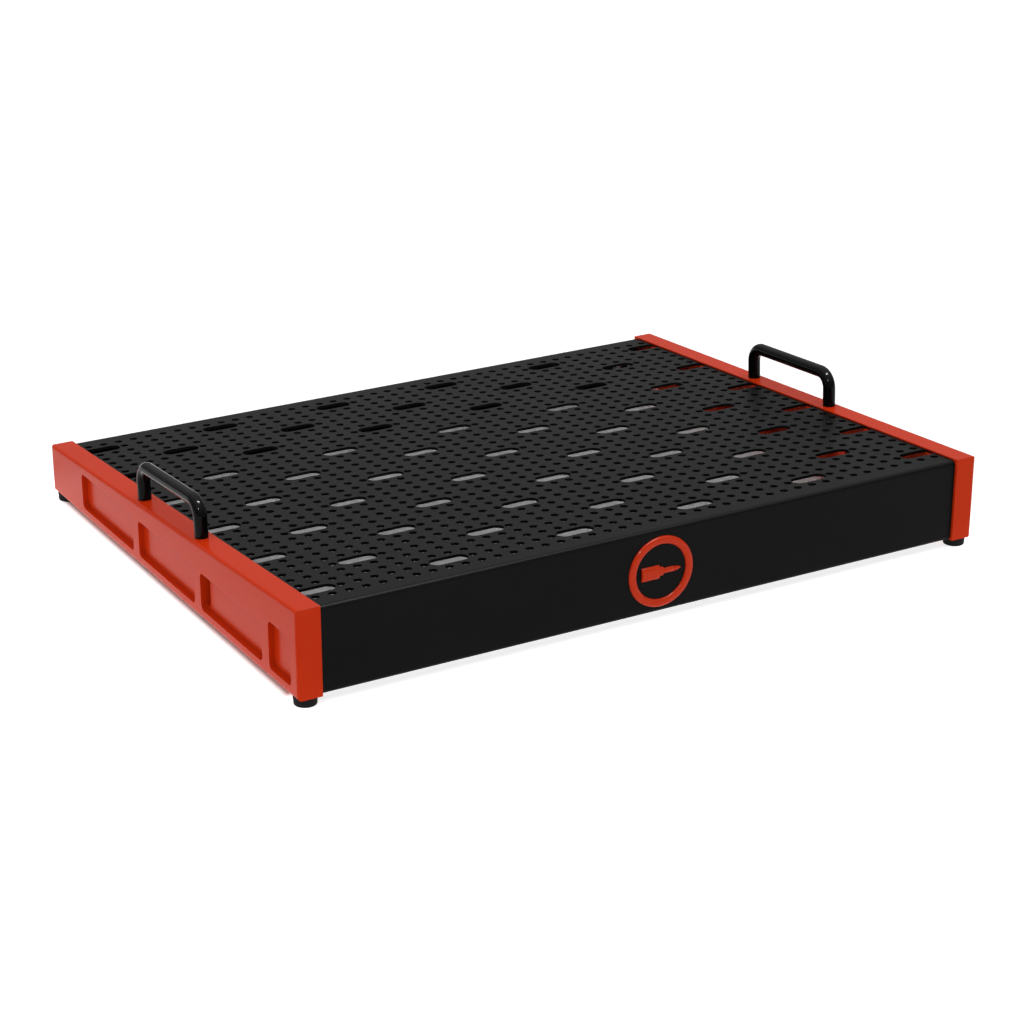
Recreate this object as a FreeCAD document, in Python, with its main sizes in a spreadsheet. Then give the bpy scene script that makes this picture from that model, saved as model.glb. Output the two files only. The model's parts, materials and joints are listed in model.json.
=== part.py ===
"""Stage pedalboard: a wedge-shaped tray folded from one perforated sheet, hung between two
pocketed side panels that carry a lifting handle each.

Frame: origin on the floor under the middle of the footprint, +Z up, +X to the right,
-Y is the tall side with the badge and +Y is the low side. All sizes are in millimetres.
"""
import FreeCAD, Part
import math
import os
import Sketcher
from FreeCAD import Placement, Rotation, Vector

X_AXIS, Y_AXIS, Z_AXIS = Vector(1, 0, 0), Vector(0, 1, 0), Vector(0, 0, 1)
SIDES = {"left": -1, "right": 1}
ENDS = {"front": -1, "rear": 1}

# ---------------------------------------------------------------- driving dimensions

SIZES = [
    # perforation of the deck
    ("pitch", 12.0), ("hole_columns", 42), ("hole_rows", 33), ("hole_width", 6.0),
    ("slot_length", 28.0), ("slot_width", 12.0), ("slots_across", 6), ("slot_column_step", 8),
    ("slot_row_step", 3),
    # body
    ("inner_width", 503.0), ("panel_thickness", 17.0), ("panel_depth", 421.0),
    ("tall_height", 62.0), ("low_height", 36.0), ("foot_height", 6.0),
    # folded tray
    ("sheet_gauge", 2.0), ("deck_lip", 1.2), ("face_recess", 2.0), ("return_width", 14.0),
    ("bend_outside", 3.0), ("bend_inside", 1.0), ("tongue", 3.8), ("tongue_inset", 6.0),
    ("groove_depth", 4.2), ("groove_play", 0.1), ("panel_round", 2.4),
    # pockets in the panels' outer faces and the reliefs behind them
    ("pocket_depth", 4.0), ("pocket_length", 96.0), ("pocket_pitch", 106.0),
    ("pocket_rise", 6.5), ("pocket_height", 27.0), ("pocket_round", 4.0),
    ("short_pocket_start", 10.0), ("short_pocket_length", 32.0), ("short_pocket_height", 33.5),
    ("relief_front_inset", 12.0), ("relief_inset", 2.0),
    ("relief_depth", 10.0), ("port_depth", 18.0), ("port_width", 7.0), ("port_height", 21.0),
    ("port_rise", 9.5), ("port_round", 1.5),
    # handles and their long screws
    ("bar_width", 9.5), ("bar_span", 98.0), ("bar_rise", 24.7), ("bar_bend", 11.0),
    ("long_shank", 5.0), ("long_head", 8.5), ("long_head_height", 5.0), ("long_key", 4.0),
    ("long_key_depth", 2.5), ("long_hole", 5.4), ("long_recess", 9.5), ("long_recess_depth", 6.0),
    ("long_engagement", 10.0),
    # corner brackets and their small fasteners
    ("bracket_leg", 30.0), ("bracket_gauge", 2.0), ("front_bracket_height", 40.0),
    ("rear_bracket_height", 20.0), ("front_bracket_rise", 8.0), ("rear_bracket_rise", 5.0),
    ("first_fastener", 9.0), ("fastener_spacing", 14.0), ("small_shank", 4.0), ("small_hole", 4.4),
    ("small_head", 7.5), ("small_head_height", 1.9), ("small_key", 2.5), ("small_key_depth", 1.2),
    ("small_engagement", 7.0), ("washer_width", 9.0), ("washer_gauge", 0.8), ("nut_key", 7.0),
    ("nut_height", 3.2), ("stud_collar", 5.4), ("stud_seat", 1.2), ("stud_reach", 8.0),
    # feet
    ("foot_top", 16.0), ("foot_base", 15.2), ("foot_inset", 8.2), ("foot_recess", 9.4),
    ("foot_recess_depth", 4.6), ("foot_engagement", 12.0),
    # badge
    ("ring_outside", 51.0), ("ring_inside", 39.6), ("ring_edge", 0.9), ("badge_gauge", 2.0),
    ("badge_rise", 29.7), ("badge_shift", 2.0), ("pin_width", 2.4), ("pin_hole", 2.6),
    ("pin_reach", 5.0), ("clip_width", 8.0), ("clip_gauge", 0.8), ("emblem_pin_offset", 8.0),
    ("barrel_length", 14.0), ("barrel_height", 10.0), ("collar_length", 3.0), ("collar_height", 6.6),
    ("sleeve_length", 9.0), ("sleeve_height", 4.0), ("neck_length", 1.0), ("neck_height", 2.4),
    ("tip_length", 4.0), ("tip_height", 0.8),
]

doc = FreeCAD.newDocument("pedalboard")
sheet = doc.addObject("Spreadsheet::Sheet", "Sizes")
for row, (alias, value) in enumerate(SIZES, start=1):
    sheet.set(f"A{row}", alias)
    sheet.set(f"B{row}", str(value))
    sheet.setAlias(f"B{row}", alias)
doc.recompute()


def size(alias):
    """The value of one cell, as a number."""
    return float(sheet.get(alias))


SLOPE = math.atan2(size("tall_height") - size("low_height"), size("panel_depth"))
FLOOR_GAP = size("foot_height")
HALF_DEPTH = size("panel_depth") / 2
HALF_WIDTH = size("inner_width") / 2
MID_HEIGHT = FLOOR_GAP + (size("tall_height") + size("low_height")) / 2
PANEL_MIDDLE = HALF_WIDTH + size("panel_thickness") / 2
SLOPE_ANGLE = math.degrees(SLOPE)
FACE_OUT = -(HALF_DEPTH - size("face_recess"))
BADGE_MIDDLE = Vector(size("badge_shift"), FACE_OUT, FLOOR_GAP + size("badge_rise"))
OUTWARD, INWARD = Rotation(Z_AXIS, Vector(0, -1, 0)), Rotation(Z_AXIS, Y_AXIS)

# The same quantities as expressions, for the properties that are bound to the sheet.
SLOPE_TAN = "(Sizes.tall_height - Sizes.low_height) / Sizes.panel_depth"
SLOPE_SECANT = f"sqrt(1 + ({SLOPE_TAN})^2)"
TOP_MIDDLE = "Sizes.foot_height + (Sizes.tall_height + Sizes.low_height) / 2"
FACE_Y = "(Sizes.panel_depth / 2 - Sizes.face_recess)"


def on_slope(x, along, above):
    """A point given across the board, along the slope from its middle and above the panels' top line."""
    y = along * math.cos(SLOPE) + above * math.sin(SLOPE)
    z = MID_HEIGHT - along * math.sin(SLOPE) + above * math.cos(SLOPE)
    return Vector(x, y, z)


def slope_turn():
    """The rotation that lays a level piece along the sloping deck."""
    return Rotation(X_AXIS, -SLOPE_ANGLE)


# ---------------------------------------------------------------- modelling helpers

NEAR = 1e-3           # two places this close are the same place
ROUGH_RADIUS = 10.0   # the ring of points that a sketch's constraints then pull into place


def primitive(kind, name, place, **sizes):
    """A Part primitive: sizes given as text are bound to the sheet, worked out ones are numbers."""
    piece = doc.addObject(f"Part::{kind}", name)
    for prop, value in sizes.items():
        if isinstance(value, str):
            piece.setExpression(prop, value)
        else:
            setattr(piece, prop, value)
    piece.Placement = place
    return piece


def cylinder(name, place, width, height):
    """A cylinder by its diameter and height, standing on its placement."""
    return primitive("Cylinder", name, place, Radius=f"({width}) / 2", Height=height)


def cut(name, base, tools):
    """The base with the tools taken out of it."""
    tool = tools[0]
    if len(tools) > 1:
        tool = doc.addObject("Part::Compound", f"{name}_tools")
        tool.Links = tools
    result = doc.addObject("Part::Cut", name)
    result.Base, result.Tool = base, tool
    return result


def fuse(name, pieces):
    """One solid from several that touch."""
    result = doc.addObject("Part::MultiFuse", name)
    result.Shapes = pieces
    return result


def group(name, pieces):
    """Identical fasteners in one node, each its own solid."""
    result = doc.addObject("Part::Compound", name)
    result.Links = pieces
    return result


def rounded(name, piece, axis, radius):
    """The piece with the edges that run along one axis rounded."""
    doc.recompute()
    turned = piece.Placement.Rotation.multVec(axis)
    edges = []
    for number, edge in enumerate(piece.Shape.Edges, start=1):
        direction = edge.tangentAt(edge.FirstParameter)
        if abs(abs(direction.dot(turned)) - 1) < 1e-6:
            edges.append((number, radius, radius))
    result = doc.addObject("Part::Fillet", name)
    result.Base = piece
    result.Edges = edges
    return result


def edges_at(shape, meets):
    """The names of a shape's straight edges whose two ends both satisfy the test."""
    return [f"Edge{number}" for number, edge in enumerate(shape.Edges, start=1)
            if len(edge.Vertexes) == 2 and all(meets(vertex) for vertex in edge.Vertexes)]


def bend(body, name, base, edges, radius):
    """A fillet on some edges of the feature before it, which stands for a bend or a rounded edge."""
    feature = body.newObject("PartDesign::Fillet", name)
    feature.Base = (base, edges)
    feature.setExpression("Radius", radius)
    doc.recompute()
    return feature


def outline(body, name, plane_role, offset, corners):
    """A closed sketch of straight lines whose corners are bound to the sheet."""
    sketch = body.newObject("Sketcher::SketchObject", name)
    plane = [feature for feature in body.Origin.OriginFeatures if feature.Role == plane_role][0]
    sketch.AttachmentSupport = [(plane, "")]
    sketch.MapMode = "FlatFace"
    if offset:
        sketch.setExpression("AttachmentOffset.Base.z", offset)
    doc.recompute()
    count = len(corners)
    turns = [2 * math.pi * k / count for k in range(count)]
    starts = [Vector(math.cos(turn), math.sin(turn), 0) * ROUGH_RADIUS for turn in turns]
    for k in range(count):
        sketch.addGeometry(Part.LineSegment(starts[k], starts[(k + 1) % count]), False)
    for k in range(count):
        sketch.addConstraint(Sketcher.Constraint("Coincident", k, 2, (k + 1) % count, 1))
    for k, (across, up) in enumerate(corners):
        for kind, expression in (("DistanceX", across), ("DistanceY", up)):
            index = sketch.addConstraint(Sketcher.Constraint(kind, -1, 1, k, 1, 1.0))
            sketch.setExpression(f"Constraints[{index}]", expression)
    return sketch


def pad(body, name, sketch, length, midplane=False):
    """A pad of the sketch along its own normal."""
    feature = body.newObject("PartDesign::Pad", name)
    feature.Profile = sketch
    feature.setExpression("Length", length)
    feature.Midplane = midplane
    doc.recompute()
    return feature


def tongue_length():
    """The length along the slope of the deck's side tongues, clear of both bends."""
    return (2 * (HALF_DEPTH - size("face_recess") - size("tongue_inset"))) / math.cos(SLOPE)


# ---------------------------------------------------------------- folded tray

def deck_height(y, below=0.0):
    """The height of the deck's upper surface at y, or of a parallel surface that far below it."""
    return MID_HEIGHT - (size("deck_lip") + below) / math.cos(SLOPE) - y * math.tan(SLOPE)


def deck_height_expression(y, below):
    """deck_height as an expression."""
    return f"{TOP_MIDDLE} - (Sizes.deck_lip + {below}) * {SLOPE_SECANT} - ({y}) * {SLOPE_TAN}"


def folded_sheet():
    """The tray before it is pierced: return, tall face, deck, low face and return in one section."""
    body = doc.addObject("PartDesign::Body", "tray_body")
    gauge, bottom = "Sizes.sheet_gauge", "Sizes.foot_height"
    inside = f"({FACE_Y} - {gauge})"
    lip = f"({FACE_Y} - Sizes.return_width)"
    section = outline(body, "tray_section", "YZ_Plane", None, [
        (f"-{lip}", bottom), (f"-{FACE_Y}", bottom),
        (f"-{FACE_Y}", deck_height_expression(f"-{FACE_Y}", 0)),
        (FACE_Y, deck_height_expression(FACE_Y, 0)),
        (FACE_Y, bottom), (lip, bottom), (lip, f"{bottom} + {gauge}"), (inside, f"{bottom} + {gauge}"),
        (inside, deck_height_expression(inside, gauge)),
        (f"-{inside}", deck_height_expression(f"-{inside}", gauge)),
        (f"-{inside}", f"{bottom} + {gauge}"), (f"-{lip}", f"{bottom} + {gauge}"),
    ])
    sheet_feature = pad(body, "tray_pad", section, "Sizes.inner_width", midplane=True)
    face, thickness = HALF_DEPTH - size("face_recess"), size("sheet_gauge")
    for kind, y, depth in (("outside", face, 0.0), ("inside", face - thickness, thickness)):
        corners = [(sign * y, z) for sign in ENDS.values()
                   for z in (FLOOR_GAP + depth, deck_height(sign * y, depth))]
        edges = [name for corner in corners for name in edges_at(
            sheet_feature.Shape, lambda vertex: abs(vertex.Y - corner[0]) + abs(vertex.Z - corner[1]) < NEAR)]
        sheet_feature = bend(body, f"tray_{kind}_bends", sheet_feature, edges, f"Sizes.bend_{kind}")
    return body


def deck_tongues():
    """The strip along each side of the deck that sits in the panel's groove."""
    tongues = []
    for side, sign in SIDES.items():
        x = HALF_WIDTH if sign > 0 else -HALF_WIDTH - size("tongue")
        corner = on_slope(x, -tongue_length() / 2, -size("deck_lip") - size("sheet_gauge"))
        tongues.append(primitive("Box", f"tongue_{side}", Placement(corner, slope_turn()),
                                 Length="Sizes.tongue", Width=tongue_length(), Height="Sizes.sheet_gauge"))
    return tongues


def slot_rows():
    """Every slot's row and column, counted in pitches from the deck's middle."""
    last_row = int(size("hole_rows")) // 2 - 1
    step = int(size("slot_column_step"))
    rows = range(-last_row, last_row + 1, int(size("slot_row_step")))
    for index, row in enumerate(rows):
        count = int(size("slots_across")) - index % 2
        for number in range(count):
            yield row, step * number - step * (count - 1) // 2


def perforation():
    """The tool that pierces the deck: a square lattice of holes with slots spread through it."""
    pitch, gauge = size("pitch"), size("sheet_gauge")
    depth, top = 4 * gauge, 2 * gauge
    half_slot = (size("slot_length") - size("slot_width")) / 2
    slots = list(slot_rows())
    tools = []
    for row, column in slots:
        x, y, radius = column * pitch, row * pitch, size("slot_width") / 2
        a, b = Vector(x - half_slot, y - radius, -top), Vector(x + half_slot, y - radius, -top)
        c, d = Vector(x + half_slot, y + radius, -top), Vector(x - half_slot, y + radius, -top)
        right_end, left_end = Vector(x + half_slot + radius, y, -top), Vector(x - half_slot - radius, y, -top)
        edges = [Part.LineSegment(a, b).toShape(), Part.Arc(b, right_end, c).toShape(),
                 Part.LineSegment(c, d).toShape(), Part.Arc(d, left_end, a).toShape()]
        tools.append(Part.Face(Part.Wire(edges)).extrude(Vector(0, 0, depth)))
    taken = {(row, column + side) for row, column in slots for side in (-0.5, 0.5)}
    columns, rows = int(size("hole_columns")), int(size("hole_rows"))
    for row in range(-(rows // 2), rows // 2 + 1):
        for index in range(columns):
            column = index - (columns - 1) / 2
            if (row, column) not in taken:
                place = Vector(column * pitch, row * pitch, -top)
                tools.append(Part.makeCylinder(size("hole_width") / 2, depth, place))
    tool = doc.addObject("Part::Feature", "perforation")
    tool.Shape = Part.makeCompound(tools)
    tool.Placement = Placement(on_slope(0, 0, -size("deck_lip") - gauge / 2), slope_turn())
    return tool


# ---------------------------------------------------------------- places of the small parts

def fastener_places():
    """Where each corner bracket is fastened: (corner, end sign, side sign, height, offset)."""
    for end, end_sign in ENDS.items():
        height = FLOOR_GAP + size(f"{end}_bracket_rise") + size(f"{end}_bracket_height") / 2
        for side, side_sign in SIDES.items():
            for step in (0, 1):
                offset = size("first_fastener") + step * size("fastener_spacing")
                yield f"{end}_{side}_{step + 1}", end_sign, side_sign, height, offset


def inward_turn(end_sign):
    """Turns +Z to point along Y from a face towards the middle of the board."""
    return Rotation(Z_AXIS, Vector(0, -end_sign, 0))


def stud_place(end_sign, side_sign, height, offset, depth):
    """A point on a stud's axis, that far inboard of the tray's outer face."""
    y = end_sign * (HALF_DEPTH - size("face_recess") - depth)
    return Placement(Vector(side_sign * (HALF_WIDTH - offset), y, height), inward_turn(end_sign))


def panel_screw_place(end_sign, side_sign, height, offset, outboard):
    """A point on a bracket screw's axis, that far outboard of the panel's inner face."""
    y = end_sign * (HALF_DEPTH - size("face_recess") - size("sheet_gauge") - offset)
    turn = Rotation(Z_AXIS, Vector(side_sign, 0, 0))
    return Placement(Vector(side_sign * (HALF_WIDTH + outboard), y, height), turn)


def foot_places():
    """Each foot's name and the middle of its top face."""
    for end, end_sign in ENDS.items():
        for side, side_sign in SIDES.items():
            y = end_sign * (HALF_DEPTH - size("foot_inset"))
            yield f"{end}_{side}", Vector(side_sign * PANEL_MIDDLE, y, FLOOR_GAP)


def handle_axes():
    """Each handle leg's name, side sign and place along the slope."""
    for side, side_sign in SIDES.items():
        for end, end_sign in ENDS.items():
            yield side, end, side_sign * PANEL_MIDDLE, end_sign * size("bar_span") / 2


def pin_places():
    """The badge's pins, on the back of the tall face: two on the ring and two on the emblem."""
    ring = (size("ring_outside") + size("ring_inside")) / 4
    for piece, offset in (("ring", ring), ("emblem", size("emblem_pin_offset"))):
        for side, side_sign in SIDES.items():
            yield f"{piece}_{side}", BADGE_MIDDLE + X_AXIS * side_sign * offset


def build_tray():
    """The pierced tray, with seats for its studs and holes for the badge's pins.

    The deck keeps a line where it enters the panels' grooves, so the face that things stand on
    ends at the panels.
    """
    blank = fuse("tray_blank", [folded_sheet(), *deck_tongues()])
    blank.Refine = False
    seats = []
    for name, end_sign, side_sign, height, offset in fastener_places():
        place = stud_place(end_sign, side_sign, height, offset, size("sheet_gauge") - size("stud_seat"))
        seats.append(cylinder(f"stud_seat_{name}", place, "Sizes.stud_collar", "Sizes.stud_seat"))
    for name, point in pin_places():
        seats.append(cylinder(f"pin_hole_{name}", Placement(point - Y_AXIS, INWARD), "Sizes.pin_hole",
                              "Sizes.sheet_gauge + 2"))
    tray = cut("deck_tray", blank, [perforation(), *seats])
    tray.Refine = False
    return tray


# ---------------------------------------------------------------- side panels

def pocket_block(name, side_sign, start, rise, length, height, from_inside, depth, radius):
    """A rounded block that cuts a pocket into a panel, from its outer or inner face."""
    thickness = size("panel_thickness")
    spare = 1.0
    near = 0.0 if from_inside else thickness - size(depth)
    reach = size(depth) + spare
    near -= spare if from_inside else 0.0
    x = HALF_WIDTH + near if side_sign > 0 else -HALF_WIDTH - near - reach
    corner = Vector(x, start - HALF_DEPTH, FLOOR_GAP + rise)
    block = primitive("Box", f"{name}_block", Placement(corner, Rotation()),
                      Length=f"Sizes.{depth} + {spare}", Width=length, Height=height)
    return rounded(name, block, X_AXIS, radius)


def panel_pockets(side, side_sign):
    """The recesses of one panel: three long pockets, a short one, the reliefs and the cable port.

    The port is a slit through the panel, flush with the rear wall of the first long pocket.
    """
    rise, length, radius = size("pocket_rise"), size("pocket_length"), size("pocket_round")
    short_length = size("short_pocket_length")
    tools = [pocket_block(f"short_pocket_{side}", side_sign, size("short_pocket_start"), rise, short_length,
                          size("short_pocket_height"), False, "pocket_depth", radius)]
    short_end = size("short_pocket_start") + short_length
    inset, front_inset = size("relief_inset"), size("relief_front_inset")
    for index in range(3):
        end = short_end + (index + 1) * size("pocket_pitch")
        start = end - length
        tools.append(pocket_block(f"pocket_{index + 1}_{side}", side_sign, start, rise, length,
                                  size("pocket_height"), False, "pocket_depth", radius))
        tools.append(pocket_block(f"relief_{index + 1}_{side}", side_sign, start + front_inset, rise + inset,
                                  length - front_inset - inset, size("pocket_height") - 2 * inset,
                                  True, "relief_depth", radius - 1))
    port_end = short_end + size("pocket_pitch")
    tools.append(pocket_block(f"port_{side}", side_sign, port_end - size("port_width"), size("port_rise"),
                              size("port_width"), size("port_height"), False, "port_depth",
                              size("port_round")))
    return tools


def build_panel(side, side_sign):
    """A side panel: a tapering plate with pockets, a groove for the deck and holes for its screws."""
    body = doc.addObject("PartDesign::Body", f"panel_body_{side}")
    bottom, half = "Sizes.foot_height", "Sizes.panel_depth / 2"
    offset = "Sizes.inner_width / 2" if side_sign > 0 else "-Sizes.inner_width / 2 - Sizes.panel_thickness"
    section = outline(body, f"panel_section_{side}", "YZ_Plane", offset, [
        (f"-{half}", bottom), (half, bottom), (half, f"{bottom} + Sizes.low_height"),
        (f"-{half}", f"{bottom} + Sizes.tall_height")])
    blank = pad(body, f"panel_pad_{side}", section, "Sizes.panel_thickness")
    outer_x = side_sign * (HALF_WIDTH + size("panel_thickness"))
    edges = edges_at(blank.Shape, lambda vertex: abs(vertex.X - outer_x) < NEAR)
    bend(body, f"panel_round_{side}", blank, edges, "Sizes.panel_round")

    play = size("groove_play")
    start = HALF_WIDTH - 1 if side_sign > 0 else -HALF_WIDTH - size("groove_depth")
    corner = on_slope(start, -tongue_length() / 2 - play, -size("deck_lip") - size("sheet_gauge") - play)
    groove = primitive("Box", f"groove_{side}", Placement(corner, slope_turn()),
                       Length="Sizes.groove_depth + 1", Width=tongue_length() + 2 * play,
                       Height="Sizes.sheet_gauge + 2 * Sizes.groove_play")
    tools = [groove, *panel_pockets(side, side_sign)]

    for leg_side, end, x, along in handle_axes():
        if leg_side == side:
            tools += handle_screw_holes(f"{side}_{end}", x, along)
    for name, end_sign, screw_side, height, offset_in in fastener_places():
        if screw_side == side_sign:
            place = panel_screw_place(end_sign, side_sign, height, offset_in, 0)
            tools.append(cylinder(f"tapped_{name}", place, "Sizes.small_shank", "Sizes.small_engagement + 1"))
    for name, point in foot_places():
        if point.x * side_sign > 0:
            tools.append(cylinder(f"foot_thread_{name}", Placement(point, Rotation()), "Sizes.small_shank",
                                  "Sizes.foot_engagement + 1"))
    return cut(f"side_panel_{side}", body, tools)


# ---------------------------------------------------------------- handles

def leg_place(x, along, above):
    """A placement on a handle leg's axis, whose +Z runs up the leg."""
    return Placement(on_slope(x, along, above), slope_turn())


def screw_head_depth(along):
    """How far below the panel's top line a handle screw's head bears, measured down the leg's axis."""
    top = on_slope(0, along, 0)
    drop = top.z - FLOOR_GAP - size("long_recess_depth")
    return drop / math.cos(SLOPE)


def handle_screw_holes(name, x, along):
    """The through hole of one handle screw and the recess for its head in the panel's bottom edge."""
    depth = screw_head_depth(along)
    hole = cylinder(f"long_hole_{name}", leg_place(x, along, -depth - 1), "Sizes.long_hole", depth + 2)
    recess = cylinder(f"long_recess_{name}", leg_place(x, along, -depth - 2 * size("long_recess_depth")),
                      "Sizes.long_recess", "2 * Sizes.long_recess_depth")
    return [hole, recess]


def build_handle(side, side_sign):
    """A D-handle bent from round bar, tapped in both ends."""
    half, rise, turn = size("bar_span") / 2, size("bar_rise"), size("bar_bend")
    diagonal = turn * (1 - math.sqrt(0.5))
    points = [Vector(0, -half, 0), Vector(0, -half, rise - turn),
              Vector(0, -half + diagonal, rise - diagonal), Vector(0, -half + turn, rise),
              Vector(0, half - turn, rise), Vector(0, half - diagonal, rise - diagonal),
              Vector(0, half, rise - turn), Vector(0, half, 0)]
    path = doc.addObject("Part::Feature", f"handle_path_{side}")
    path.Shape = Part.Wire([
        Part.LineSegment(points[0], points[1]).toShape(), Part.Arc(*points[1:4]).toShape(),
        Part.LineSegment(points[3], points[4]).toShape(), Part.Arc(*points[4:7]).toShape(),
        Part.LineSegment(points[6], points[7]).toShape()])
    section = doc.addObject("Part::Circle", f"handle_section_{side}")
    section.setExpression("Radius", "Sizes.bar_width / 2")
    section.Placement = Placement(points[0], Rotation())
    doc.recompute()
    bar = doc.addObject("Part::Sweep", f"handle_bar_{side}")
    bar.Sections = [section]
    bar.Spine = (path, [f"Edge{number}" for number in range(1, 6)])
    bar.Solid, bar.Frenet = True, False
    threads = [cylinder(f"handle_thread_{side}_{end}", Placement(Vector(0, sign * half, -1), Rotation()),
                        "Sizes.long_shank", "Sizes.long_engagement + 2") for end, sign in ENDS.items()]
    handle = cut(f"handle_{side}", bar, threads)
    handle.Placement = Placement(on_slope(side_sign * PANEL_MIDDLE, 0, 0), slope_turn())
    return handle


def socket_screw(name, place, kind, length):
    """A hexagon socket screw, long or small: its shank runs along +Z from the bearing face."""
    down = Placement(Vector(), Rotation(X_AXIS, 180))
    shank = cylinder(f"{name}_shank", Placement(), f"Sizes.{kind}_shank", length)
    head = cylinder(f"{name}_head", down, f"Sizes.{kind}_head", f"Sizes.{kind}_head_height")
    solid = fuse(f"{name}_solid", [shank, head])
    below = Placement(-Z_AXIS * (size(f"{kind}_head_height") + 1), Rotation())
    socket = primitive("Prism", f"{name}_socket", below, Circumradius=f"Sizes.{kind}_key / sqrt(3)",
                       Height=f"Sizes.{kind}_key_depth + 1", Polygon=6)
    screw = cut(name, solid, [socket])
    screw.Placement = place
    return screw


def build_handle_screws(side):
    """The two long screws that hold one handle, driven up through the panel."""
    screws = []
    for leg_side, end, x, along in handle_axes():
        if leg_side == side:
            depth = screw_head_depth(along)
            screws.append(socket_screw(f"long_screw_{side}_{end}", leg_place(x, along, -depth), "long",
                                       depth + size("long_engagement")))
    return group(f"handle_screws_{side}", screws)


# ---------------------------------------------------------------- corner brackets and fasteners

def build_bracket(end, end_sign, side, side_sign):
    """A bent angle in one corner, studded to the tray's face and screwed to the panel."""
    body = doc.addObject("PartDesign::Body", f"bracket_body_{end}_{side}")
    x = "Sizes.inner_width / 2"
    y = f"({FACE_Y} - Sizes.sheet_gauge)"
    gauge, leg = "Sizes.bracket_gauge", "Sizes.bracket_leg"
    corners = [(x, y), (f"{x} - {leg}", y), (f"{x} - {leg}", f"{y} - {gauge}"),
               (f"{x} - {gauge}", f"{y} - {gauge}"), (f"{x} - {gauge}", f"{y} - {leg}"), (x, f"{y} - {leg}")]
    signed = [(f"{side_sign} * ({across})", f"{end_sign} * ({up})") for across, up in corners]
    section = outline(body, f"bracket_section_{end}_{side}", "XY_Plane",
                      f"Sizes.foot_height + Sizes.{end}_bracket_rise", signed)
    angle = pad(body, f"bracket_pad_{end}_{side}", section, f"Sizes.{end}_bracket_height")
    for kind, depth in (("outside", 0), ("inside", size("bracket_gauge"))):
        corner_x = side_sign * (HALF_WIDTH - depth)
        corner_y = end_sign * (HALF_DEPTH - size("face_recess") - size("sheet_gauge") - depth)
        edges = edges_at(angle.Shape, lambda vertex: (
            abs(vertex.X - corner_x) + abs(vertex.Y - corner_y) < NEAR))
        angle = bend(body, f"bracket_{kind}_bend_{end}_{side}", angle, edges, f"Sizes.bend_{kind}")
    holes = []
    for name, hole_end, hole_side, height, offset in fastener_places():
        if (hole_end, hole_side) == (end_sign, side_sign):
            face_place = stud_place(end_sign, side_sign, height, offset, size("sheet_gauge") - 0.5)
            holes.append(cylinder(f"face_hole_{name}", face_place, "Sizes.small_hole", f"{gauge} + 1"))
            side_place = panel_screw_place(end_sign, side_sign, height, offset, -size("bracket_gauge") - 0.5)
            holes.append(cylinder(f"side_hole_{name}", side_place, "Sizes.small_hole", f"{gauge} + 1"))
    return cut(f"corner_bracket_{end}_{side}", body, holes)


def ring_piece(name, place, width, hole, height):
    """A flat ring."""
    disc = cylinder(f"{name}_disc", Placement(), width, height)
    bore = cylinder(f"{name}_bore", Placement(Vector(0, 0, -1), Rotation()), hole, f"{height} + 2")
    ring = cut(name, disc, [bore])
    ring.Placement = place
    return ring


def build_bracket_fasteners():
    """Studs clinched into the tray, their nuts, and the screws and washers into the panels."""
    studs, nuts, screws, washers = [], [], [], []
    gauge = size("bracket_gauge")
    for name, end_sign, side_sign, height, offset in fastener_places():
        seat = size("sheet_gauge") - size("stud_seat")
        collar = cylinder(f"stud_collar_{name}", stud_place(end_sign, side_sign, height, offset, seat),
                          "Sizes.stud_collar", "Sizes.stud_seat")
        shank = cylinder(f"stud_shank_{name}", stud_place(end_sign, side_sign, height, offset, seat),
                         "Sizes.small_shank", "Sizes.stud_seat + Sizes.stud_reach")
        studs.append(fuse(f"stud_{name}", [collar, shank]))
        nut_depth = size("sheet_gauge") + gauge
        hexagon = primitive("Prism", f"nut_hexagon_{name}", Placement(), Polygon=6,
                            Circumradius="Sizes.nut_key / sqrt(3)", Height="Sizes.nut_height")
        bore = cylinder(f"nut_bore_{name}", Placement(Vector(0, 0, -1), Rotation()), "Sizes.small_shank",
                        "Sizes.nut_height + 2")
        nut = cut(f"nut_{name}", hexagon, [bore])
        nut.Placement = stud_place(end_sign, side_sign, height, offset, nut_depth)
        nuts.append(nut)
        bearing = -gauge - size("washer_gauge")
        screws.append(socket_screw(f"bracket_screw_{name}",
                                   panel_screw_place(end_sign, side_sign, height, offset, bearing),
                                   "small", size("small_engagement") - bearing))
        washers.append(ring_piece(f"bracket_washer_{name}",
                                  panel_screw_place(end_sign, side_sign, height, offset, bearing),
                                  "Sizes.washer_width", "Sizes.small_hole", "Sizes.washer_gauge"))
    return [group("tray_studs", studs), group("tray_stud_nuts", nuts),
            group("bracket_screws", screws), group("bracket_washers", washers)]


# ---------------------------------------------------------------- feet

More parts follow.
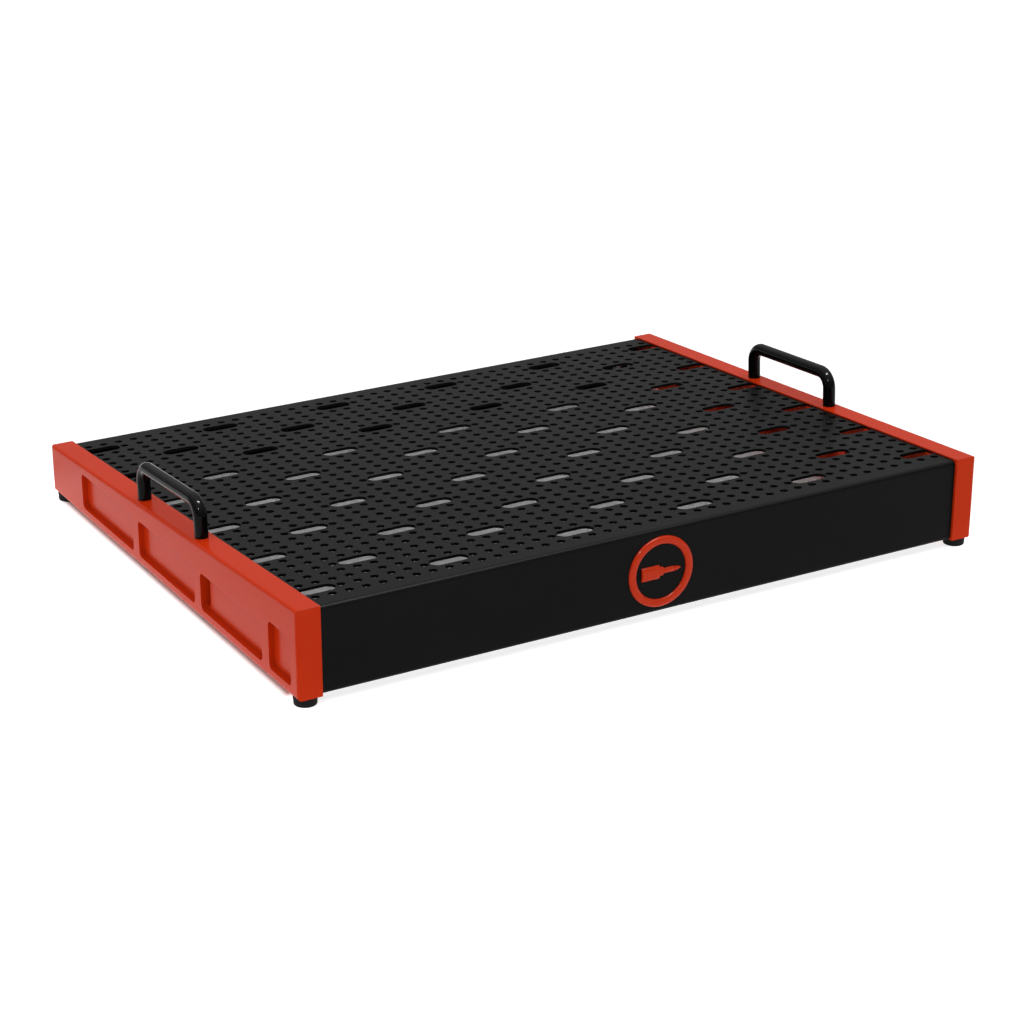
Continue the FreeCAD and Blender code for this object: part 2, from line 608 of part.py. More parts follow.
def build_feet():
    """The rubber feet, the washers in their recesses and the screws that hold them."""
    feet, washers, screws = [], [], []
    recess = size("foot_recess_depth")
    for name, top in foot_places():
        base = Vector(top.x, top.y, 0)
        cone = primitive("Cone", f"foot_cone_{name}", Placement(base, Rotation()),
                         Radius1="Sizes.foot_base / 2", Radius2="Sizes.foot_top / 2",
                         Height="Sizes.foot_height")
        well = cylinder(f"foot_well_{name}", Placement(base - Z_AXIS, Rotation()), "Sizes.foot_recess",
                        "Sizes.foot_recess_depth + 1")
        hole = cylinder(f"foot_hole_{name}", Placement(base, Rotation()), "Sizes.small_hole",
                        "Sizes.foot_height + 1")
        feet.append(cut(f"foot_{name}", cone, [well, hole]))
        bearing = recess - size("washer_gauge")
        washers.append(ring_piece(f"foot_washer_{name}", Placement(base + Z_AXIS * bearing, Rotation()),
                                  "Sizes.washer_width", "Sizes.small_hole", "Sizes.washer_gauge"))
        screws.append(socket_screw(f"foot_screw_{name}", Placement(base + Z_AXIS * bearing, Rotation()),
                                   "small", FLOOR_GAP - bearing + size("foot_engagement")))
    return [*feet, group("foot_washers", washers), group("foot_screws", screws)]


# ---------------------------------------------------------------- badge

def badge_pin(name, point):
    """A moulded pin that runs from the badge through the tray's face."""
    return cylinder(f"badge_pin_{name}", Placement(point, INWARD), "Sizes.pin_width", "Sizes.pin_reach")


def build_badge():
    """A raised ring round a plain jack-plug emblem, pinned through the tall face."""
    ring = ring_piece("ring_flat", Placement(BADGE_MIDDLE, OUTWARD), "Sizes.ring_outside",
                      "Sizes.ring_inside", "Sizes.badge_gauge")
    doc.recompute()
    front_y = FACE_OUT - size("badge_gauge")
    front_edges = [(number, size("ring_edge"), size("ring_edge"))
                   for number, edge in enumerate(ring.Shape.Edges, start=1)
                   if edge.Closed and abs(edge.Vertexes[0].Y - front_y) < NEAR]
    softened = doc.addObject("Part::Fillet", "ring_softened")
    softened.Base = ring
    softened.Edges = front_edges
    pins = dict(pin_places())
    ring_pins = [badge_pin(name, point) for name, point in pins.items() if "ring" in name]
    ring_node = fuse("badge_ring", [softened, *ring_pins])

    body = doc.addObject("PartDesign::Body", "emblem_body")
    half_sizes = ["barrel", "collar", "sleeve", "neck"]
    total = " + ".join(f"Sizes.{part}_length" for part in (*half_sizes, "tip"))
    middle = "(Sizes.foot_height + Sizes.badge_rise)"
    left = f"(Sizes.badge_shift - ({total}) / 2)"
    upper, reached = [], left
    for part in half_sizes:
        half_height = f"Sizes.{part}_height / 2"
        upper.append((reached, half_height))
        reached = f"({reached} + Sizes.{part}_length)"
        upper.append((reached, half_height))
    tip_base = reached
    upper.append((tip_base, "Sizes.sleeve_height / 2"))
    tip = (f"({tip_base} + Sizes.tip_length)", "Sizes.tip_height / 2")
    upper.append(tip)
    corners = [(across, f"{middle} + {up}") for across, up in upper]
    corners += [(across, f"{middle} - {up}") for across, up in reversed(upper)]
    section = outline(body, "emblem_section", "XZ_Plane", f"{FACE_Y}", corners)
    pad(body, "emblem_pad", section, "Sizes.badge_gauge")
    emblem_pins = [badge_pin(name, point) for name, point in pins.items() if "emblem" in name]
    emblem_node = fuse("badge_emblem", [body, *emblem_pins])

    clips = [ring_piece(f"push_clip_{name}", Placement(point + Y_AXIS * size("sheet_gauge"), INWARD),
                        "Sizes.clip_width", "Sizes.pin_width", "Sizes.clip_gauge")
             for name, point in pins.items()]
    return [ring_node, emblem_node, group("badge_push_clips", clips)]


# ---------------------------------------------------------------- the whole board

nodes = [build_tray()]
nodes += [build_panel(side, sign) for side, sign in SIDES.items()]
nodes += [build_handle(side, sign) for side, sign in SIDES.items()]
nodes += [build_handle_screws(side) for side in SIDES]
nodes += [build_bracket(end, end_sign, side, side_sign)
          for end, end_sign in ENDS.items() for side, side_sign in SIDES.items()]
nodes += build_bracket_fasteners()
nodes += build_feet()
nodes += build_badge()
doc.recompute()

failed = [piece.Name for piece in doc.Objects if {"Invalid", "Error"} & set(piece.State)]
if failed:
    raise RuntimeError(f"these objects failed: {failed}")
for node in nodes:
    if node.Shape.isNull() or not node.Shape.isValid():
        raise RuntimeError(f"{node.Name} has no valid shape")

os.makedirs("parts", exist_ok=True)
whole = FreeCAD.BoundBox()
for node in nodes:
    node.Label = node.Name
    node.Shape.exportStep(f"parts/{node.Name}.step")
    whole.add(node.Shape.BoundBox)
    print(f"{node.Name}: {len(node.Shape.Solids)} solids, {node.Shape.Volume:.0f} mm3")
print(f"{len(nodes)} nodes, {whole.XLength:.1f} x {whole.YLength:.1f} x {whole.ZLength:.1f} mm")
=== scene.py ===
# %% [markdown]
# # A stage pedalboard
# A pedalboard is a low wedge that guitarists stand their effects on. This one is a single sheet,
# pierced all over and folded into a tray, hung between two thick side panels with a lifting
# handle each. The CAD model already holds every shape and size. This lesson gives the metal its
# finishes, and remakes the few pieces whose roundness the eye follows closely.

# %% Load the frame
import json
import math

import bmesh
import bpy
import numpy as np
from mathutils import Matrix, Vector


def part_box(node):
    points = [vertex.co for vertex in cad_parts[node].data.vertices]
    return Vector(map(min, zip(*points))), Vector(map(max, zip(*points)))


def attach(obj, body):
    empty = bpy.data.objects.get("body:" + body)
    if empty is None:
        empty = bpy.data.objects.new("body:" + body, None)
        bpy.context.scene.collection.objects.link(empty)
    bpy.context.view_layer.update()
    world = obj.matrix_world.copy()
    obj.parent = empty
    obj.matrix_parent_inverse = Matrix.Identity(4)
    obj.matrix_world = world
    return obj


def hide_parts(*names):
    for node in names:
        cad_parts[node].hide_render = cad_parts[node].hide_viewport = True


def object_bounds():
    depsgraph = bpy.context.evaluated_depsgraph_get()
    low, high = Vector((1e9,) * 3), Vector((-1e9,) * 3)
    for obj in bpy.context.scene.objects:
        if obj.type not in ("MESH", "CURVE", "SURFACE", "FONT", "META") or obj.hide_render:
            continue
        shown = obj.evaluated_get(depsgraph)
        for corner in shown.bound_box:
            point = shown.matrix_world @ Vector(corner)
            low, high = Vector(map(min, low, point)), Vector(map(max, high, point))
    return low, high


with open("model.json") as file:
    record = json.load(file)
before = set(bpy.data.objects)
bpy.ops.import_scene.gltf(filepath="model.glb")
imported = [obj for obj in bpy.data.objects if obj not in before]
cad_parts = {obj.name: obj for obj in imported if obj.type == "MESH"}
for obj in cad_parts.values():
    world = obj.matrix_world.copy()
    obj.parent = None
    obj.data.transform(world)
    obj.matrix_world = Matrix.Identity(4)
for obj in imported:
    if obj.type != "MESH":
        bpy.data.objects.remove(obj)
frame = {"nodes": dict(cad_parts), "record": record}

cad_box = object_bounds()
nodes = frame["nodes"]
MM = 0.001
print("nodes:", len(nodes), "CAD box:", [[round(c, 4) for c in corner] for corner in cad_box])

# %% [markdown]
# ## Where the camera stands
# A product view of a low, wide object is taken from a little above and well back, with a long
# lens, so that the far edge stays nearly as wide as the near one. The camera is aimed at a point
# under the deck, close to the middle of the board.

# %% Camera
CAMERA_PLACE = Vector((-0.8827, -1.5246, 0.7153))
CAMERA_AIM = Vector((-0.0259, -0.0598, 0.0320))
LENS_MM, SENSOR_MM = 90.39, 36.0
FARTHEST_SEEN = 50.0


def add_camera(place, aim, lens):
    """A camera at place that looks at aim, level with the horizon."""
    data = bpy.data.cameras.new("camera")
    data.lens = lens
    data.sensor_width = SENSOR_MM
    data.clip_end = FARTHEST_SEEN
    camera = bpy.data.objects.new("camera", data)
    camera.location = place
    camera.rotation_euler = (aim - place).to_track_quat("-Z", "Y").to_euler()
    bpy.context.scene.collection.objects.link(camera)
    bpy.context.scene.camera = camera


add_camera(CAMERA_PLACE, CAMERA_AIM, LENS_MM)

# %% [markdown]
# ## One way to say a colour, one way to add a node
# Colours are given as sRGB hex values, but a shader wants linear light, so one function
# turns one into the other. Another adds a node, sets its sockets and joins it to its neighbours,
# which keeps each material to the few lines that matter.

# %% Colour and node helpers
def linear(hex_colour):
    """The linear RGBA of an sRGB hex colour."""
    channels = np.array([int(hex_colour[i:i + 2], 16) for i in (1, 3, 5)]) / 255
    low, high = channels / 12.92, ((channels + 0.055) / 1.055) ** 2.4
    return (*np.where(channels <= 0.04045, low, high).tolist(), 1.0)


def socket(sockets, key):
    """The socket with that identifier, or else with that name or number."""
    for candidate in sockets:
        if candidate.identifier == key:
            return candidate
    return sockets[key]


def add(tree, kind, settings=None, links=None):
    """A node of that kind. settings holds properties and socket values, links holds socket: output."""
    node = tree.nodes.new(kind)
    for key, value in (settings or {}).items():
        if isinstance(key, str) and hasattr(node, key):
            setattr(node, key, value)
        else:
            socket(node.inputs, key).default_value = value
    for key, output in (links or {}).items():
        tree.links.new(output, socket(node.inputs, key))
    return node


def new_material(name, **shader_sockets):
    """A material with a Principled shader, and its tree, shader and Object coordinates."""
    material = bpy.data.materials.new(name)
    material.use_nodes = True
    tree = material.node_tree
    shader = tree.nodes["Principled BSDF"]
    for key, value in shader_sockets.items():
        shader.inputs[key.replace("_", " ")].default_value = value
    place = add(tree, "ShaderNodeTexCoord").outputs["Object"]
    return material, tree, shader, place


def per_metre(size_mm):
    """The texture scale whose features are that many millimetres across."""
    return 1.0 / (size_mm * MM)


# %% [markdown]
# ## The studio
# A glossy red panel shows whatever stands around it, so the lighting is built from large soft
# shapes. The whole sky is one: brightest overhead and dimmer towards the horizon, which keeps the
# upright faces darker than the top ones without a hard shadow. A few lamps exist only for their
# reflections: three in a row overhead for the short glints on the handles' bends, and one to the
# left for those on the badge's ring. A round bar shrinks what it reflects so much that a lamp has
# to be about as wide as a hand is long before its glint can be seen.
#
# The floor's paint is white. Close round the board it also glows, which is painted light: the glow
# fills in the grey halo of shadow that a low object leaves round itself. Under the board lies a dark
# patch with no glow, so the floor seen through the slots stays dim. The patch stops a little
# short of the tall face, and reaches out to the low face and the side panels.

# %% Sky and lamps
SKY_AT_HORIZON = 0.34
SKY_RISE = 1.90
LAMP_SIDE, LAMP_SPACING, LAMP_WATTS = 0.26, 0.42, 26.0
LAMP_ROW = Vector((0.16, -0.55, 2.0))
SIDE_LAMP_PLACE = Vector((-1.1, -1.45, 1.35))
SIDE_LAMP_WATTS = 18.0


def add_sky():
    """A white sky of radiance horizon + rise * z * z, where z is the sine of the elevation."""
    world = bpy.data.worlds.new("studio_sky")
    world.use_nodes = True
    bpy.context.scene.world = world
    tree = world.node_tree
    background = tree.nodes["Background"]
    direction = add(tree, "ShaderNodeTexCoord").outputs["Generated"]
    height = add(tree, "ShaderNodeSeparateXYZ", links={"Vector": direction}).outputs["Z"]
    square = add(tree, "ShaderNodeMath", {"operation": "MULTIPLY"}, {0: height, 1: height})
    radiance = add(tree, "ShaderNodeMath", {"operation": "MULTIPLY_ADD", 1: SKY_RISE, 2: SKY_AT_HORIZON},
                   {0: square.outputs["Value"]})
    background.inputs["Color"].default_value = linear("#ffffff")
    tree.links.new(radiance.outputs["Value"], background.inputs["Strength"])


def add_lamp(name, place, watts):
    """A square lamp at place that faces the board and is seen only in reflections."""
    data = bpy.data.lights.new(name, "AREA")
    data.shape, data.size, data.energy = "SQUARE", LAMP_SIDE, watts
    lamp = bpy.data.objects.new(name, data)
    lamp.location = place
    lamp.visible_diffuse = False
    lamp.rotation_euler = (-place).to_track_quat("-Z", "Y").to_euler()
    bpy.context.scene.collection.objects.link(lamp)


add_sky()
for number in (-1, 0, 1):
    add_lamp(f"overhead_lamp_{number + 2}", LAMP_ROW + Vector((number * LAMP_SPACING, 0, 0)), LAMP_WATTS)
add_lamp("side_lamp", SIDE_LAMP_PLACE, SIDE_LAMP_WATTS)
bpy.context.scene.view_settings.view_transform = "Standard"

# %% Floor with painted glow
FLOOR_HALF_SIZE = 12.0
FLOOR_DROP = 0.05 * MM
GLOW = 0.9
GLOW_EDGE_MM = 3.0
GLOW_REACH_MM = 60.0
PATCH_SIDE_INSET, PATCH_FRONT_INSET = 2.0 * MM, 24.0 * MM
FLOOR_ROUGHNESS, FLOOR_SPECULAR = 0.9, 0.1


def add_floor(box, glow, edge_mm, reach_mm):
    """A white floor a hair below the feet, which glows outside a patch under the box.

    The glow follows max(|x - middle| - half width, |y - middle| - half depth), the distance
    outside the patch. It rises to its full value across the patch's edge and fades over reach_mm.
    """
    low, high = Vector(box[0]), Vector(box[1])
    low += Vector((PATCH_SIDE_INSET, PATCH_FRONT_INSET, 0.0))
    high -= Vector((PATCH_SIDE_INSET, 0.0, 0.0))
    middle, half = (low + high) / 2, (high - low) / 2
    mesh = bpy.data.meshes.new("studio_floor")
    far = FLOOR_HALF_SIZE
    corners = [(-far, -far, -FLOOR_DROP), (far, -far, -FLOOR_DROP), (far, far, -FLOOR_DROP),
               (-far, far, -FLOOR_DROP)]
    mesh.from_pydata(corners, [], [(0, 1, 2, 3)])
    floor = bpy.data.objects.new("studio_floor", mesh)
    bpy.context.scene.collection.objects.link(floor)
    material, tree, shader, place = new_material("white_floor_painted_glow", Roughness=FLOOR_ROUGHNESS)
    shader.inputs["Base Color"].default_value = linear("#f7f7f7")
    shader.inputs["Specular IOR Level"].default_value = FLOOR_SPECULAR
    # The emission below is painted light: a glow round the board that fills in its shadow on the floor.
    shader.inputs["Emission Color"].default_value = linear("#ffffff")
    offset = add(tree, "ShaderNodeVectorMath", {"operation": "SUBTRACT", 1: middle}, {0: place})
    reach = add(tree, "ShaderNodeVectorMath", {"operation": "ABSOLUTE"}, {0: offset.outputs["Vector"]})
    beyond = add(tree, "ShaderNodeVectorMath", {"operation": "SUBTRACT", 1: half},
                 {0: reach.outputs["Vector"]})
    parts = add(tree, "ShaderNodeSeparateXYZ", links={"Vector": beyond.outputs["Vector"]})
    outside = add(tree, "ShaderNodeMath", {"operation": "MAXIMUM"},
                  {0: parts.outputs["X"], 1: parts.outputs["Y"]})
    rise = add(tree, "ShaderNodeMapRange", {"From Min": -edge_mm * MM, "From Max": edge_mm * MM,
                                            "To Min": 0.0, "To Max": glow},
               {"Value": outside.outputs["Value"]})
    fade = add(tree, "ShaderNodeMapRange", {"From Min": edge_mm * MM, "From Max": reach_mm * MM,
                                            "To Min": 1.0, "To Max": 0.0},
               {"Value": outside.outputs["Value"]})
    strength = add(tree, "ShaderNodeMath", {"operation": "MULTIPLY"},
                   {0: rise.outputs["Result"], 1: fade.outputs["Result"]})
    tree.links.new(strength.outputs["Value"], shader.inputs["Emission Strength"])
    mesh.materials.append(material)


add_floor(cad_box, GLOW, GLOW_EDGE_MM, GLOW_REACH_MM)

# %% [markdown]
# ## Black powder coat on the folded sheet
# Powder coat is a dry paint that melts in an oven. It flows almost flat but keeps an orange-peel
# ripple a millimetre or two across, with a finer sandy grain on it, and it scatters most of its
# reflection. Along the sheet's edges and round each hole the paint draws thin and rounds over,
# which a Bevel node gives without touching the mesh.

# %% Powder coats
ORANGE_PEEL_MM = 2.0
SANDY_GRAIN_MM = 0.9      # really about 0.3 mm, drawn coarser so that it shows
HANDLING_MARKS_MM = 60.0
BEVEL_SAMPLES = 4
FLAT_COSINE, TURNED_COSINE = 0.99, 0.80      # between the true and the rounded normal
EDGE_WEAR = 0.55
MARKS_FAINTEST, MARKS_STRONGEST, MARKS_WEAR = 0.35, 0.75, 0.16
COAT_SMOOTHER, COAT_ROUGHER = 0.04, 0.06


def powder_coat(name, colour, worn_colour, roughness, specular, peel_depth, grain_depth, edge_mm):
    """Oven-baked powder coat: rippled, slightly grainy, thinner and paler on the edges."""
    material, tree, shader, place = new_material(name)
    shader.inputs["Specular IOR Level"].default_value = specular
    peel = add(tree, "ShaderNodeTexNoise", {"Scale": per_metre(ORANGE_PEEL_MM), "Detail": 1.0},
               {"Vector": place})
    grain = add(tree, "ShaderNodeTexNoise", {"Scale": per_metre(SANDY_GRAIN_MM), "Detail": 2.0},
                {"Vector": place})
    marks = add(tree, "ShaderNodeTexNoise", {"Scale": per_metre(HANDLING_MARKS_MM), "Detail": 4.0,
                                             "Roughness": 0.6}, {"Vector": place})
    rounded = add(tree, "ShaderNodeBevel", {"samples": BEVEL_SAMPLES, "Radius": edge_mm * MM})
    ripple = add(tree, "ShaderNodeBump", {"Strength": 1.0, "Distance": peel_depth * MM},
                 {"Height": peel.outputs["Fac"], "Normal": rounded.outputs["Normal"]})
    sand = add(tree, "ShaderNodeBump", {"Strength": 1.0, "Distance": grain_depth * MM},
               {"Height": grain.outputs["Fac"], "Normal": ripple.outputs["Normal"]})
    tree.links.new(sand.outputs["Normal"], shader.inputs["Normal"])

    true_normal = add(tree, "ShaderNodeNewGeometry").outputs["True Normal"]
    agreement = add(tree, "ShaderNodeVectorMath", {"operation": "DOT_PRODUCT"},
                    {0: rounded.outputs["Normal"], 1: true_normal})
    edge = add(tree, "ShaderNodeMapRange", {"From Min": FLAT_COSINE, "From Max": TURNED_COSINE,
                                            "To Min": 0.0, "To Max": EDGE_WEAR},
               {"Value": agreement.outputs["Value"]})
    blotch = add(tree, "ShaderNodeMapRange", {"From Min": MARKS_FAINTEST, "From Max": MARKS_STRONGEST,
                                              "To Min": 0.0, "To Max": MARKS_WEAR},
                 {"Value": marks.outputs["Fac"]})
    wear = add(tree, "ShaderNodeMath", {"operation": "MAXIMUM"},
               {0: edge.outputs["Result"], 1: blotch.outputs["Result"]})
    tint = add(tree, "ShaderNodeMix", {"data_type": "RGBA", "A_Color": linear(colour),
                                       "B_Color": linear(worn_colour)}, {0: wear.outputs["Value"]})
    tree.links.new(socket(tint.outputs, "Result_Color"), shader.inputs["Base Color"])
    gloss = add(tree, "ShaderNodeMapRange", {"To Min": roughness - COAT_SMOOTHER,
                                             "To Max": roughness + COAT_ROUGHER},
                {"Value": marks.outputs["Fac"]})
    tree.links.new(gloss.outputs["Result"], shader.inputs["Roughness"])
    return material


tray_coat = powder_coat("black_powder_coated_sheet", "#0b0b0b", "#151516", roughness=0.38,
                        specular=0.05, peel_depth=0.020, grain_depth=0.006, edge_mm=0.45)
panel_coat = powder_coat("red_powder_coated_aluminium", "#b12a07", "#ba3511", roughness=0.24,
                         specular=0.05, peel_depth=0.006, grain_depth=0.001, edge_mm=0.6)
bracket_coat = powder_coat("black_powder_coated_bracket", "#111111", "#1d1d1e", roughness=0.50,
                           specular=0.12, peel_depth=0.020, grain_depth=0.006, edge_mm=0.30)

# %% [markdown]
# ## Gloss enamel, zinc, black oxide and rubber
# The handles and the badge are glossy, so the eye reads their reflections and almost nothing
# else: a smooth skin over the colour, with only a faint ripple. Bright zinc plate is a metal whose
# tone and roughness wander. Black oxide is the same steel made dark by a hot
# salt bath. Moulded rubber is matt with a fine spark-eroded grain.

# %% Enamel, plated steel and rubber
ENAMEL_RIPPLE_MM = 6.0
ENAMEL_DUST_MM = 9.0
PLATING_GRAIN_MM = 0.8
PLATING_STAIN_MM = 5.0
RUBBER_GRAIN_MM = 0.5
RUBBER_SCUFF_MM = 4.0
DUST_FAINTEST, DUST_STRONGEST, DUST_COVER = 0.45, 0.8, 0.25
ENAMEL_SMOOTHER, ENAMEL_ROUGHER = 0.04, 0.08
PLATING_SMOOTHER, PLATING_ROUGHER = 0.08, 0.12
PLATING_EDGE, PLATING_DEPTH = 0.25 * MM, 0.01 * MM
RUBBER_SPECULAR, RUBBER_DEPTH = 0.1, 0.04 * MM
RUBBER_SMOOTHEST, RUBBER_ROUGHEST = 0.68, 0.85


def gloss_enamel(name, colour, dust_colour, roughness, specular, ripple_depth):
    """A sprayed gloss enamel: deep colour, a smooth skin, a faint ripple and a trace of dust."""
    material, tree, shader, place = new_material(name)
    shader.inputs["Specular IOR Level"].default_value = specular
    ripple = add(tree, "ShaderNodeTexNoise", {"Scale": per_metre(ENAMEL_RIPPLE_MM), "Detail": 2.0},
                 {"Vector": place})
    bump = add(tree, "ShaderNodeBump", {"Strength": 1.0, "Distance": ripple_depth * MM},
               {"Height": ripple.outputs["Fac"]})
    tree.links.new(bump.outputs["Normal"], shader.inputs["Normal"])
    dust = add(tree, "ShaderNodeTexNoise", {"Scale": per_metre(ENAMEL_DUST_MM), "Detail": 6.0,
                                            "Roughness": 0.7}, {"Vector": place})
    amount = add(tree, "ShaderNodeMapRange", {"From Min": DUST_FAINTEST, "From Max": DUST_STRONGEST,
                                              "To Max": DUST_COVER},
                 {"Value": dust.outputs["Fac"]})
    tint = add(tree, "ShaderNodeMix", {"data_type": "RGBA", "A_Color": linear(colour),
                                       "B_Color": linear(dust_colour)}, {0: amount.outputs["Result"]})
    tree.links.new(socket(tint.outputs, "Result_Color"), shader.inputs["Base Color"])
    gloss = add(tree, "ShaderNodeMapRange", {"To Min": roughness - ENAMEL_SMOOTHER,
                                             "To Max": roughness + ENAMEL_ROUGHER},
                {"Value": dust.outputs["Fac"]})
    tree.links.new(gloss.outputs["Result"], shader.inputs["Roughness"])
    return material


def plated_steel(name, light_colour, dark_colour, roughness):
    """A plated or blackened steel fastener: fully metallic, its tone and roughness uneven."""
    material, tree, shader, place = new_material(name, Metallic=1.0)
    grain = add(tree, "ShaderNodeTexNoise", {"Scale": per_metre(PLATING_GRAIN_MM), "Detail": 3.0},
                {"Vector": place})
    stain = add(tree, "ShaderNodeTexNoise", {"Scale": per_metre(PLATING_STAIN_MM), "Detail": 3.0},
                {"Vector": place})
    tint = add(tree, "ShaderNodeMix", {"data_type": "RGBA", "A_Color": linear(light_colour),
                                       "B_Color": linear(dark_colour)}, {0: stain.outputs["Fac"]})
    tree.links.new(socket(tint.outputs, "Result_Color"), shader.inputs["Base Color"])
    gloss = add(tree, "ShaderNodeMapRange", {"To Min": roughness - PLATING_SMOOTHER,
                                             "To Max": roughness + PLATING_ROUGHER},
                {"Value": grain.outputs["Fac"]})
    tree.links.new(gloss.outputs["Result"], shader.inputs["Roughness"])
    rounded = add(tree, "ShaderNodeBevel", {"samples": BEVEL_SAMPLES, "Radius": PLATING_EDGE})
    bump = add(tree, "ShaderNodeBump", {"Strength": 1.0, "Distance": PLATING_DEPTH},
               {"Height": grain.outputs["Fac"], "Normal": rounded.outputs["Normal"]})
    tree.links.new(bump.outputs["Normal"], shader.inputs["Normal"])
    return material


def moulded_rubber(name, colour, worn_colour):
    """Moulded rubber: matt, sandy from the mould, greyer where it has been scuffed."""
    material, tree, shader, place = new_material(name)
    shader.inputs["Specular IOR Level"].default_value = RUBBER_SPECULAR
    grain = add(tree, "ShaderNodeTexNoise", {"Scale": per_metre(RUBBER_GRAIN_MM), "Detail": 2.0},
                {"Vector": place})
    scuff = add(tree, "ShaderNodeTexNoise", {"Scale": per_metre(RUBBER_SCUFF_MM), "Detail": 4.0},
                {"Vector": place})
    tint = add(tree, "ShaderNodeMix", {"data_type": "RGBA", "A_Color": linear(colour),
                                       "B_Color": linear(worn_colour)}, {0: scuff.outputs["Fac"]})
    tree.links.new(socket(tint.outputs, "Result_Color"), shader.inputs["Base Color"])
    gloss = add(tree, "ShaderNodeMapRange", {"To Min": RUBBER_SMOOTHEST, "To Max": RUBBER_ROUGHEST},
                {"Value": scuff.outputs["Fac"]})
    tree.links.new(gloss.outputs["Result"], shader.inputs["Roughness"])
    bump = add(tree, "ShaderNodeBump", {"Strength": 1.0, "Distance": RUBBER_DEPTH},
               {"Height": grain.outputs["Fac"]})
    tree.links.new(bump.outputs["Normal"], shader.inputs["Normal"])
    return material


handle_enamel = gloss_enamel("black_gloss_enamel", "#050505", "#090909", roughness=0.06,
                             specular=0.09, ripple_depth=0.004)
badge_enamel = gloss_enamel("red_gloss_enamel", "#b12a07", "#b8320f", roughness=0.10,
                            specular=0.12, ripple_depth=0.003)
zinc_plate = plated_steel("bright_zinc_plate", "#c9cdd1", "#9da3a9", roughness=0.32)
black_oxide = plated_steel("black_oxide_steel", "#3a3b3e", "#26272a", roughness=0.42)
foot_rubber = moulded_rubber("moulded_black_rubber", "#0b0b0b", "#1a1a1a")

# %% [markdown]
# ## Surfaces from arrays
# Every new piece here is a tube-like surface: a ring of points carried along some path. Held as
# one array of rows by columns, with each row one ring, all of its faces come out of four shifted
# copies of the same index grid, so no loop ever walks over the points.

# %% Surfaces from arrays
TURN = 2 * math.pi
WELD = 1e-7
CREASE_DEGREES = 35.0


def ring_angles(count):
    """Angles once round a circle, without the repeated last one."""
    return np.arange(count) * TURN / count


def grid_faces(rows, columns, first, looped):
    """Four-sided faces between neighbouring rows. Columns always wrap, rows only when looped."""
    index = first + np.arange(rows * columns).reshape(rows, columns)
    beside, above = np.roll(index, -1, axis=1), np.roll(index, -1, axis=0)
    faces = np.stack([index, beside, np.roll(above, -1, axis=1), above], axis=-1)
    return (faces if looped else faces[:-1]).reshape(-1, 4)


def build_piece(name, grids, material, material_slot, *replaced):
    """One object from several (points, looped) grids, standing for the CAD nodes named."""
    points, faces, first = [], [], 0
    for grid, looped in grids:
        rows, columns = grid.shape[:2]
        points.append(grid.reshape(-1, 3))
        faces.append(grid_faces(rows, columns, first, looped))
        first += rows * columns
    mesh = bpy.data.meshes.new(name)
    mesh.from_pydata(np.concatenate(points).tolist(), [], np.concatenate(faces).tolist())
    shape = bmesh.new()
    shape.from_mesh(mesh)
    bmesh.ops.remove_doubles(shape, verts=shape.verts, dist=WELD)
    bmesh.ops.dissolve_degenerate(shape, edges=shape.edges, dist=WELD)
    bmesh.ops.recalc_face_normals(shape, faces=shape.faces)
    shape.to_mesh(mesh)
    shape.free()
    mesh.shade_smooth()
    mesh.set_sharp_from_angle(angle=math.radians(CREASE_DEGREES))
    mesh.materials.append(material)
    piece = bpy.data.objects.new(name, mesh)
    bpy.context.scene.collection.objects.link(piece)
    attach(piece, "root")
    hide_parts(*replaced)
    print(name, len(mesh.vertices), "points")


def lathe(outline, middle, along, across, upward, columns, looped=False):
    """A turned surface: each (radius, height) of the outline becomes a circle round the axis.

    point = middle + along * height + radius * (across * cos + upward * sin)
    """
    outline, angles = np.array(outline), ring_angles(columns)
    circle = np.cos(angles)[:, None] * np.array(across) + np.sin(angles)[:, None] * np.array(upward)
    points = (np.array(middle) + outline[:, 1, None, None] * np.array(along)
              + outline[:, 0, None, None] * circle[None])
    return points, looped


def corner_arc(radius, height, round_off, start, count=6):
    """A quarter circle of outline points about (radius, height), from the start angle in degrees."""
    angles = np.radians(np.linspace(start, start + 90.0, count))
    return np.stack([radius + round_off * np.cos(angles), height + round_off * np.sin(angles)], axis=1)


# %% [markdown]
# ## The handles
# Each handle is a round bar bent to a D and sprayed gloss black. Its whole look is one long
# reflection that runs up a leg and over the bend, and the flats of a coarse mesh would break it.
# So the bar is swept again with a fine ring of points, and its size is read back from the CAD
# piece, tilted level by the deck's slope.

# %% Handles
BEND_RADIUS = 11.0 * MM
LEG_END_CHAMFER = 0.35 * MM
BAR_COLUMNS = 48
BEND_ROWS = 20

deck_normal = [mount for mount in frame["record"]["mounts"] if mount["name"] == "deck_rest"][0]["axis"]
SLOPE = math.atan2(deck_normal[1], deck_normal[2])
panel_low, panel_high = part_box("side_panel_left")
MID_HEIGHT = panel_high[2] - (panel_high[1] - panel_low[1]) / 2 * math.tan(SLOPE)


def levelled(node):
    """A CAD node's points as across, along the slope, and above the panels' top line."""
    flat = np.empty(len(node.data.vertices) * 3)
    node.data.vertices.foreach_get("co", flat)
    across, y, z = flat.reshape(-1, 3).T
    z = z - MID_HEIGHT
    return (across, y * math.cos(SLOPE) - z * math.sin(SLOPE), y * math.sin(SLOPE) + z * math.cos(SLOPE))


